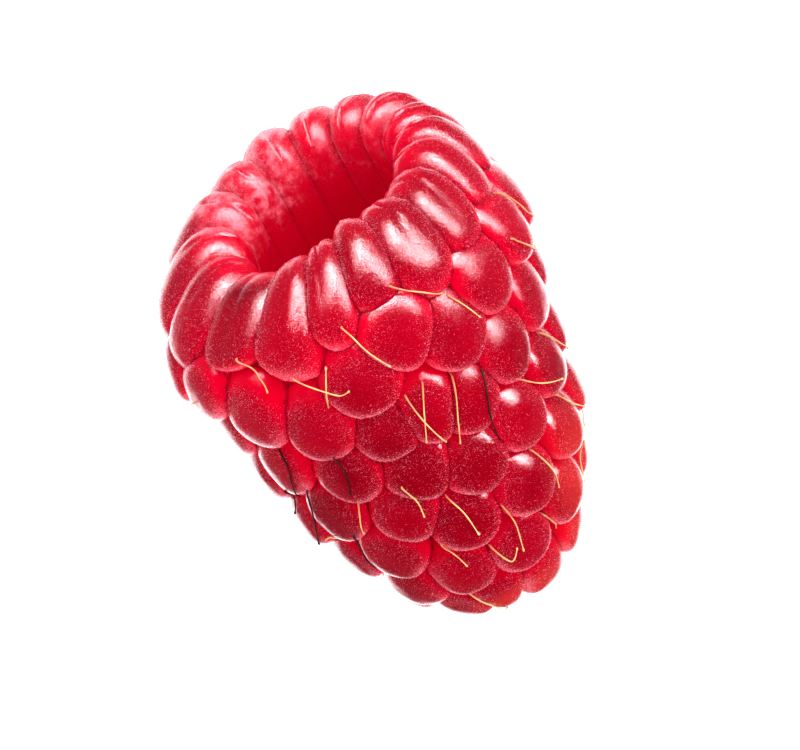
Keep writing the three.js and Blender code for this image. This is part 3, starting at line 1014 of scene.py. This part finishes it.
class RASPBERRY_OT_styles(bpy.types.Operator):
    """Makes the dried styles, each a thin tapering thread with a knob at its free end"""

    bl_idname = "raspberry.styles"
    bl_label = "Make the styles"

    def execute(self, context):
        chance = np.random.default_rng(SEED + 1)
        paths = style_paths(bpy.data.objects["berry"])
        material = style_material()
        share = np.linspace(0, 1, STYLE_RINGS)
        # a style tapers from 1.2 to 0.7 of its middling thickness, wavers, and swells at its end
        knob = 1 + 0.9 * ease(0.90, 0.96, share) * ease(1.02, 0.985, share)
        for number, path in enumerate(paths, 1):
            waver = 1 + 0.12 * np.sin(TURN * (share * chance.uniform(2, 4) + chance.random()))
            radii = STYLE_RADIUS * (1.2 - 0.5 * share) * waver * knob
            name = f"style_{number:02d}"
            mesh = tube_mesh(name, path, radii, STYLE_COLUMNS)
            dark = 1.0 if number in DARK_STYLES else 0.25 * chance.random()
            along = np.concatenate([[0], np.repeat(share, STYLE_COLUMNS), [1]])
            add_attributes(mesh, dark=dark, along=along)
            smooth(mesh)
            style = link("thread_" + name[-2:], mesh, material)
            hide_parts(name)
            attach(style, "root")
        return {"FINISHED"}


# ---------------------------------------------------------------- the bloom

HAIRS_IN_A_PIECE = 40000
# How deep hairs are rooted, and how near their tips come to what the fruit lies on.
HAIR_ROOT, TIP_CLEARANCE = 0.008 * MM, 0.05 * MM
# How much hairs stand up and how much they stray, and how upright a hair has to be to stay.
HAIR_UPRIGHT, HAIR_STRAY, FLATTEST = 0.75, 0.8, 0.15
# The share of hairs that are longer and thicker, and by how much of their size.
LONG_SHARE, LONGER, THICKER = 0.05, 0.9, 0.5
# The middle of the hollow, and where the lip's plane crosses the Y axis.
HOLLOW_MIDDLE, LIP_PLANE = np.array([0, 0, 8.5]) * MM, -0.0115


def hair_mesh(name, roots, leads, lengths, widths):
    """Hairs as closed four-sided spikes: three points round the root, and the tip.

    The three are root + width (X cos(u) + Y sin(u)), with X and Y square to the lead.
    """
    side = unit(np.cross(leads, unit(np.roll(leads, 1, axis=1) + [0.1, 0.2, 0.3])))
    other = np.cross(leads, side)
    theta = angles(3)
    foot = (roots[:, None] + widths[:, None, None]
            * (side[:, None] * np.cos(theta)[:, None] + other[:, None] * np.sin(theta)[:, None]))
    tip = roots + leads * lengths[:, None]
    points = np.concatenate([foot, tip[:, None]], axis=1).reshape(-1, 3)
    corners = np.array([[0, 2, 1], [0, 1, 3], [1, 2, 3], [2, 0, 3]])
    faces = (4 * np.arange(len(roots))[:, None, None] + corners).reshape(-1, 3)
    return mesh_of(name, points, [faces])


def hair_shares(skin, corners, middle, normal, area):
    """The share of all hairs that each of the skin's triangles gets: its area times eased steps.

    There are more hairs near the lip and on the drupelets' sides, fewer down the hollow, whose
    wall looks toward its middle, and none in the grooves or next to what the fruit lies on.
    """
    inside = ((normal * (HOLLOW_MIDDLE - middle)) * [1, 0, 1]).sum(1) > 0
    depth = middle[:, 1] - LIP_PLANE
    edge = read_attribute(skin, "edge")[corners]
    weight = area * (0.25 + 0.75 * ease(0.35, 0.75, edge)) * ease(0.96, 0.84, edge)
    weight *= 1 + 1.6 * ease(0.004, 0.002, depth)
    weight *= 1 - read_attribute(skin, "groove")[corners]
    weight *= np.where(inside, 1 - ease(0, 0.002, depth), 1) * ease(0, 0.001, middle[:, 2])
    return weight / weight.sum()


class RASPBERRY_OT_bloom(bpy.types.Operator):
    """Strews fine pale hairs over the drupelets, fewer down the hollow"""

    bl_idname = "raspberry.bloom"
    bl_label = "Strew the bloom"

    def execute(self, context):
        settings = context.scene.raspberry_bloom
        skin = bpy.data.objects["berry"].data
        skin.calc_loop_triangles()
        corners = np.empty(3 * len(skin.loop_triangles), np.int32)
        skin.loop_triangles.foreach_get("vertices", corners)
        corners = corners.reshape(-1, 3)
        a, b, c = np.moveaxis(read_vertices(skin)[corners], 1, 0)
        cross = np.cross(b - a, c - a)
        normal = unit(cross)
        shares = hair_shares(
            skin, corners[:, 0], (a + b + c) / 3, normal, np.linalg.norm(cross, axis=1) / 2)
        material = hair_material()
        chance = np.random.default_rng(SEED + 2)
        for number in range(settings.pieces):
            pick = chance.choice(len(shares), HAIRS_IN_A_PIECE, p=shares)
            out = normal[pick]
            u, v = chance.random((2, len(pick), 1))
            fold = u + v > 1
            u, v = np.where(fold, 1 - u, u), np.where(fold, 1 - v, v)
            roots = a[pick] + u * (b - a)[pick] + v * (c - a)[pick] - out * HAIR_ROOT
            stray = unit(chance.standard_normal(roots.shape))
            leads = unit(out * HAIR_UPRIGHT + stray * HAIR_STRAY)
            long = chance.random(len(pick)) < LONG_SHARE
            lengths = settings.length * chance.uniform(0.5, 1.4, len(pick)) * (1 + LONGER * long)
            widths = settings.width * chance.uniform(0.7, 1.3, len(pick)) * (1 + THICKER * long)
            keep = (leads * out).sum(1) > FLATTEST
            keep &= roots[:, 2] + leads[:, 2] * lengths > TIP_CLEARANCE
            mesh = hair_mesh("bloom", roots[keep], leads[keep], lengths[keep], widths[keep])
            bloom = link(f"bloom_{number + 1}", mesh, material)
            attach(bloom, "root")
        return {"FINISHED"}


# ---------------------------------------------------------------- the stage

FLOOR_HALF, LAMP_DISTANCE = 0.6, 0.4
# The camera's height over the horizon, its distance, the width that it takes in, the point that
# it looks at, and how far its right goes along -X and toward the closed end.
CAMERA_ELEVATION, CAMERA_DISTANCE = math.radians(78), 0.28
SENSOR_WIDTH, VIEW_WIDTH = 36, 0.03902
AIM = Vector((-0.00008, 0.00008, 0.0080))
ROLL = (0.87, 0.49)
# Each lamp's name, how far right and up of the camera it stands, its width and height in metres,
# its share of the power, and whether it lights the flesh or only shines on it.
LAMPS = (
    ("softbox_left", -0.42, 0.88, 0.30, 0.12, 0.50, False),
    ("softbox_right", 0.50, 0.88, 0.62, 0.12, 1.26, False),
    ("window", 0.40, 0.50, 0.60, 0.60, 0.70, True),
)


def floor_material():
    """A matt white surface, as lit from below, that gives the fruit only a little of its light.

    Gloss sees it bright close to the fruit, fading from 14 to 24 mm out.
    """
    graph = Graph("white_floor")
    place = graph.place()
    paper = graph.mix(graph.noise(place, 60), (0.90, 0.90, 0.90), (0.92, 0.92, 0.92))
    away = graph.node("ShaderNodeVectorMath", {"operation": "LENGTH"}, {0: place}, "Value")
    bright = (1 - away.step(0.014, 0.024)) * 2.6 + 0.15
    shader = graph.by_ray(
        seen=graph.node("ShaderNodeBsdfPrincipled", None, {
            "Base Color": paper, "Roughness": 0.8,
            "Emission Color": WHITE, "Emission Strength": 1.0}),
        on_flesh=graph.node("ShaderNodeEmission", None, {"Color": (0.70, 0.70, 0.70, 1)}),
        in_gloss=graph.node("ShaderNodeEmission", None, {"Color": WHITE, "Strength": bright}))
    graph.node("ShaderNodeOutputMaterial", None, {"Surface": shader})
    return graph.owner


def surroundings(settings):
    """A world that is white to the eye, fills the flesh softly and is dim above in its gloss."""
    graph = Graph("surround", bpy.data.worlds)
    way = graph.node("ShaderNodeTexCoord", output="Generated")
    up = graph.node("ShaderNodeSeparateXYZ", None, {0: way}, output="Z")
    low = 1 - up.step(0.02, 0.30) * 0.95
    seen, on_flesh, in_gloss = (
        graph.node("ShaderNodeBackground", None, {"Color": WHITE, "Strength": strength})
        for strength in (1.0, settings.fill, low * settings.surround))
    shader = graph.by_ray(seen, on_flesh, in_gloss)
    graph.node("ShaderNodeOutputWorld", None, {"Surface": shader})
    return graph.owner


def camera_axes():
    """The camera's right, its up, and the way from what it looks at toward it."""
    rise, level = math.sin(CAMERA_ELEVATION), math.cos(CAMERA_ELEVATION)
    toward = Vector((0, -level, rise))
    closed_end = Vector((0, rise, level))
    right = ROLL[0] * Vector((-1, 0, 0)) + ROLL[1] * closed_end
    right.normalize()
    return right, toward.cross(right), toward


class RASPBERRY_OT_stage(bpy.types.Operator):
    """Sets the white floor, the softboxes and the camera"""

    bl_idname = "raspberry.stage"
    bl_label = "Set the stage"

    def execute(self, context):
        settings = context.scene.raspberry_stage
        scene = context.scene
        scene.view_settings.view_transform = "Standard"
        scene.view_settings.look = "High Contrast"
        scene.world = surroundings(settings)
        corners = np.array([[-1, -1, 0], [1, -1, 0], [1, 1, 0], [-1, 1, 0]]) * FLOOR_HALF
        floor_mesh = mesh_of("floor", corners, [np.array([[0, 1, 2, 3]])])
        floor = link("floor", floor_mesh, floor_material())

        right, up, toward = camera_axes()
        data = bpy.data.cameras.new("camera")
        data.sensor_width = SENSOR_WIDTH
        data.lens = SENSOR_WIDTH * CAMERA_DISTANCE / VIEW_WIDTH
        data.clip_start = 0.01
        camera = link("camera", data)
        turn = Matrix((right, up, toward)).transposed().to_4x4()
        camera.matrix_world = Matrix.Translation(AIM + toward * CAMERA_DISTANCE) @ turn
        scene.camera = camera

        for name, side, lift, width, height, share, lights_flesh in LAMPS:
            data = bpy.data.lights.new(name, "AREA")
            data.energy = settings.softbox * share
            data.shape = "RECTANGLE"
            data.size = width
            data.size_y = height
            lamp = link(name, data)
            lamp.visible_diffuse = lights_flesh
            lamp.visible_glossy = not lights_flesh
            way = (toward + right * side + up * lift).normalized()
            lamp.matrix_world = (Matrix.Translation(AIM + way * LAMP_DISTANCE)
                                 @ way.to_track_quat("Z", "Y").to_matrix().to_4x4())
        return {"FINISHED"}


class RASPBERRY_PT_berry(bpy.types.Panel):
    """The raspberry's sizes and colours, and the steps that make it"""

    bl_label = "Raspberry"
    bl_space_type = "VIEW_3D"
    bl_region_type = "UI"
    bl_category = "Raspberry"

    def draw(self, context):
        for name in GROUPS:
            group = getattr(context.scene, name)
            for key in group.bl_rna.properties.keys():
                if key not in ("name", "rna_type"):
                    self.layout.prop(group, key)
        for step in STEPS:
            self.layout.operator(step.bl_idname)


STEPS = (RASPBERRY_OT_fruit, RASPBERRY_OT_styles, RASPBERRY_OT_bloom, RASPBERRY_OT_stage)
GROUPS = {
    "raspberry_flesh": RaspberryFlesh,
    "raspberry_bloom": RaspberryBloom,
    "raspberry_stage": RaspberryStage,
}


def register():
    for cls in (*GROUPS.values(), *STEPS, RASPBERRY_PT_berry):
        bpy.utils.register_class(cls)
    for name, group in GROUPS.items():
        setattr(bpy.types.Scene, name, bpy.props.PointerProperty(type=group))


def unregister():
    for name in GROUPS:
        delattr(bpy.types.Scene, name)
    for cls in reversed((*GROUPS.values(), *STEPS, RASPBERRY_PT_berry)):
        bpy.utils.unregister_class(cls)


def main():
    """Makes the whole raspberry."""
    register()
    bpy.ops.raspberry.fruit()
    bpy.ops.raspberry.styles()
    bpy.ops.raspberry.bloom()
    bpy.ops.raspberry.stage()


if __name__ == "__main__":
    main()
